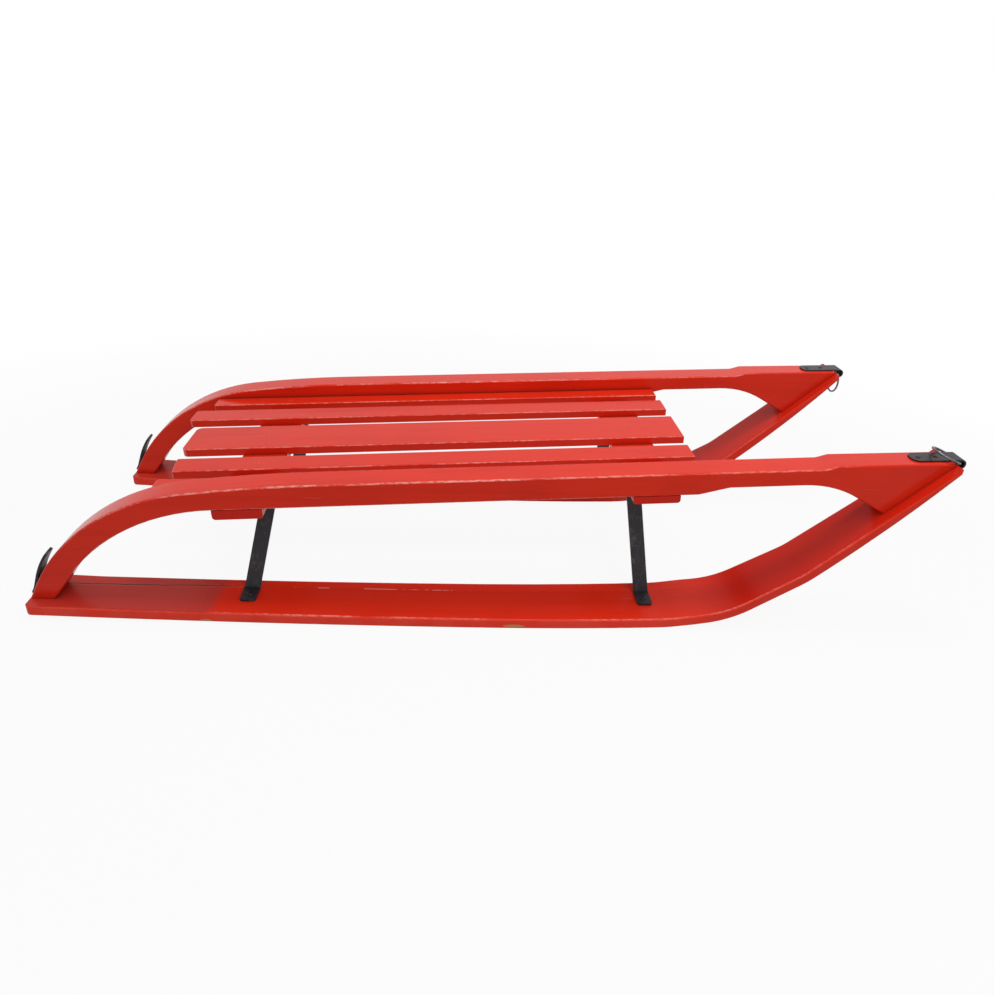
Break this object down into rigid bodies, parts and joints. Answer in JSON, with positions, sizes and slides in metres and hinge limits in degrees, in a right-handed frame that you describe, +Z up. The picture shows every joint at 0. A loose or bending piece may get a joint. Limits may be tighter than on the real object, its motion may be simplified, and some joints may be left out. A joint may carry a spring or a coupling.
{
  "type": "snow sled",
  "caption": "Wooden snow sled with ski-like runners, bent rails, a slatted seat, flat iron legs and iron tow rings.",
  "frame": {"origin": "middle of the sled on the ground plane under its runners", "axes": "+X forward, towards the upturned tips, +Y to the sled's left, +Z up"},
  "size_m": [1.1707, 0.427, 0.2618],
  "materials": {
    "runner_paint": "worn red gloss paint on wood",
    "rail_paint": "worn red gloss paint on wood",
    "seat_paint": "worn red gloss paint on wood",
    "iron": "dark lacquered flat iron",
    "band_iron": "dark lacquered band",
    "ring_iron": "dark steel wire"
  },
  "bodies": {
    "sled": {"runner_right": "runner_paint", "runner_left": "runner_paint", "rail_right": "rail_paint", "rail_left": "rail_paint", "crossbar_rear": "seat_paint", "crossbar_front": "seat_paint", "slat_outer_right": "seat_paint", "slat_inner_right": "seat_paint", "slat_middle": "seat_paint", "slat_inner_left": "seat_paint", "slat_outer_left": "seat_paint", "leg_rear_right": "iron", "leg_rear_left": "iron", "leg_front_right": "iron", "leg_front_left": "iron", "nose_band_right": "band_iron", "nose_band_left": "band_iron", "heel_band_right": "band_iron", "heel_band_left": "band_iron"},
    "right_ring": {"tow_ring_right": "ring_iron"},
    "left_ring": {"tow_ring_left": "ring_iron"}
  },
  "joints": [
    {"name": "right_ring_hinge", "type": "hinge", "parent": "sled", "child": "right_ring", "pos_m": [0.57859, -0.1705, 0.24661], "axis": [0, 1, 0], "range_deg": [0, 283]},
    {"name": "left_ring_hinge", "type": "hinge", "parent": "sled", "child": "left_ring", "pos_m": [0.57859, 0.1705, 0.24661], "axis": [0, 1, 0], "range_deg": [-245, 38]}
  ]
}
